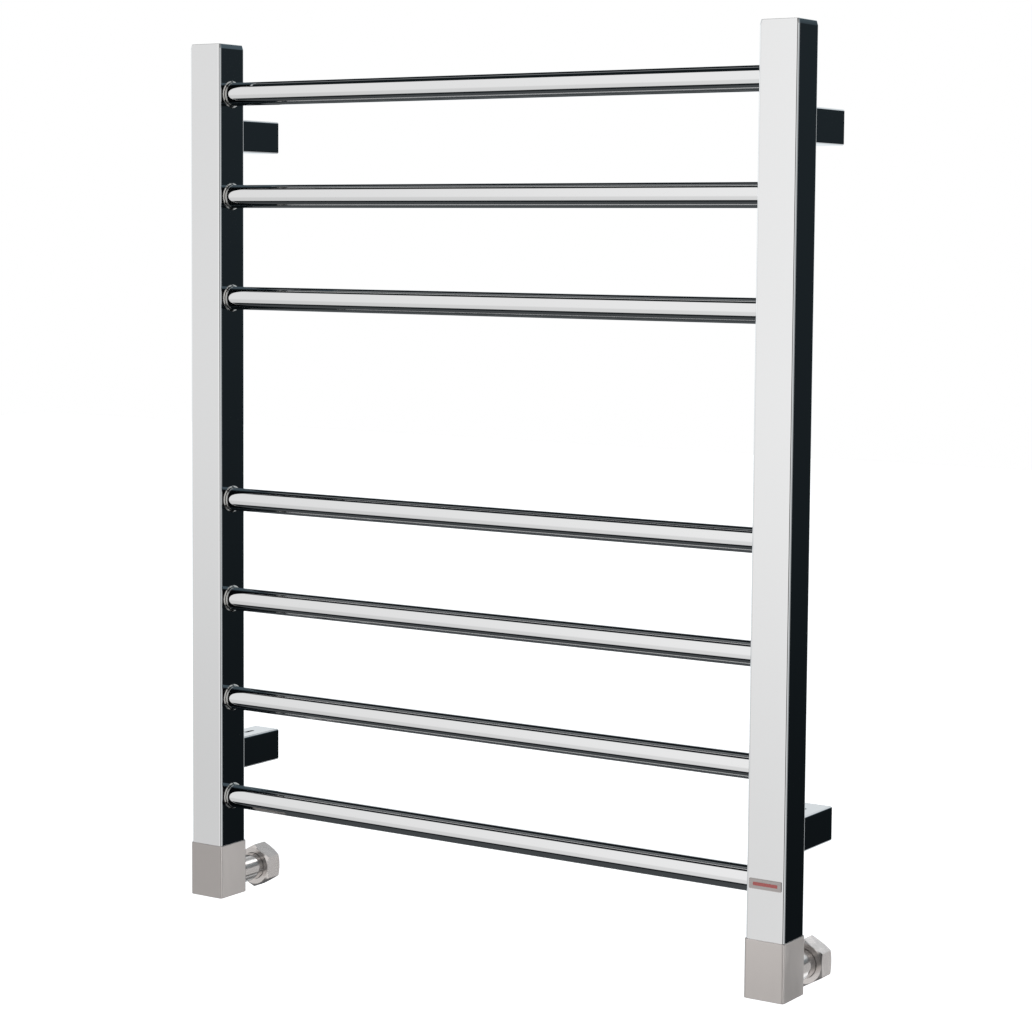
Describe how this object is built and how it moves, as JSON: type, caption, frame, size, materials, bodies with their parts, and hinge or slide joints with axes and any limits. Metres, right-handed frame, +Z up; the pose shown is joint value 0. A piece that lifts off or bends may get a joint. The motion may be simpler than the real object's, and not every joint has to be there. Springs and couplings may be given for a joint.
{
  "type": "towel warmer rack",
  "caption": "Wall-hung water-heated ladder towel rail with square uprights, round rungs, telescopic wall brackets and square angle connectors with union nuts.",
  "frame": {"origin": "on the wall plane, at the centre of the rectangle of the four wall screws", "axes": "+X to the right as seen from the room, +Y into the wall, +Z up"},
  "size_m": [0.5314, 0.0768, 0.6763],
  "materials": {
    "polished_steel": "mirror-polished stainless steel",
    "plain_steel": "turned stainless steel",
    "satin_nickel": "satin nickel plate",
    "nickel_plate": "bright nickel plate",
    "cast_alloy": "tumbled die casting",
    "black_screw": "black oxide",
    "brass": "machined brass",
    "seal_rubber": "black EPDM",
    "fibre_gasket": "pressed fibre",
    "plate_steel": "fine brushed, blank"
  },
  "bodies": {
    "wall_anchors": {"upper_left_anchor": "cast_alloy", "upper_right_anchor": "cast_alloy", "lower_left_anchor": "cast_alloy", "lower_right_anchor": "cast_alloy"},
    "rail": {"left_upright": "polished_steel", "left_top_cap": "polished_steel", "left_rung_welds": "polished_steel", "left_bracket_welds": "polished_steel", "left_tail_pipe": "nickel_plate", "left_bottom_boss": "plain_steel", "left_connector": "satin_nickel", "left_nipple": "brass", "left_nipple_seal": "seal_rubber", "left_union_gasket": "fibre_gasket", "upper_left_sleeve": "polished_steel", "lower_left_sleeve": "polished_steel", "right_upright": "polished_steel", "right_top_cap": "polished_steel", "right_rung_welds": "polished_steel", "right_bracket_welds": "polished_steel", "right_tail_pipe": "nickel_plate", "right_bottom_boss": "plain_steel", "right_connector": "satin_nickel", "right_nipple": "brass", "right_nipple_seal": "seal_rubber", "right_union_gasket": "fibre_gasket", "upper_right_sleeve": "polished_steel", "lower_right_sleeve": "polished_steel", "rung_1": "polished_steel", "rung_2": "polished_steel", "rung_3": "polished_steel", "rung_4": "polished_steel", "rung_5": "polished_steel", "rung_6": "polished_steel", "rung_7": "polished_steel", "bleed_boss": "plain_steel", "bleed_seal": "seal_rubber", "bleed_valve": "nickel_plate", "nameplate": "plate_steel"},
    "left_nut": {"left_union_nut": "nickel_plate"},
    "right_nut": {"right_union_nut": "nickel_plate"},
    "bleed_screw_body": {"bleed_screw": "nickel_plate"},
    "upper_left_lock_screw_body": {"upper_left_lock_screw": "black_screw"},
    "upper_right_lock_screw_body": {"upper_right_lock_screw": "black_screw"},
    "lower_left_lock_screw_body": {"lower_left_lock_screw": "black_screw"},
    "lower_right_lock_screw_body": {"lower_right_lock_screw": "black_screw"}
  },
  "joints": [
    {"name": "rail_slide", "type": "slide", "parent": "wall_anchors", "child": "rail", "axis": [0, -1, 0], "range_m": [0, 0.0075]},
    {"name": "left_nut_turn", "type": "hinge", "parent": "rail", "child": "left_nut", "pos_m": [-0.25, -0.0063, -0.344], "axis": [0, 1, 0], "continuous": true},
    {"name": "right_nut_turn", "type": "hinge", "parent": "rail", "child": "right_nut", "pos_m": [0.25, -0.0063, -0.344], "axis": [0, 1, 0], "continuous": true},
    {"name": "bleed_screw_turn", "type": "hinge", "parent": "rail", "child": "bleed_screw_body", "pos_m": [0.25, -0.036, 0.293], "axis": [0, 1, 0], "range_deg": [0, 360]},
    {"name": "upper_left_lock_screw_turn", "type": "hinge", "parent": "wall_anchors", "child": "upper_left_lock_screw_body", "pos_m": [-0.25, -0.0265, 0.2537], "axis": [0, 0, 1], "range_deg": [-360, 0]},
    {"name": "upper_right_lock_screw_turn", "type": "hinge", "parent": "wall_anchors", "child": "upper_right_lock_screw_body", "pos_m": [0.25, -0.0265, 0.2537], "axis": [0, 0, 1], "range_deg": [-360, 0]},
    {"name": "lower_left_lock_screw_turn", "type": "hinge", "parent": "wall_anchors", "child": "lower_left_lock_screw_body", "pos_m": [-0.25, -0.0265, -0.2363], "axis": [0, 0, 1], "range_deg": [-360, 0]},
    {"name": "lower_right_lock_screw_turn", "type": "hinge", "parent": "wall_anchors", "child": "lower_right_lock_screw_body", "pos_m": [0.25, -0.0265, -0.2363], "axis": [0, 0, 1], "range_deg": [-360, 0]}
  ]
}
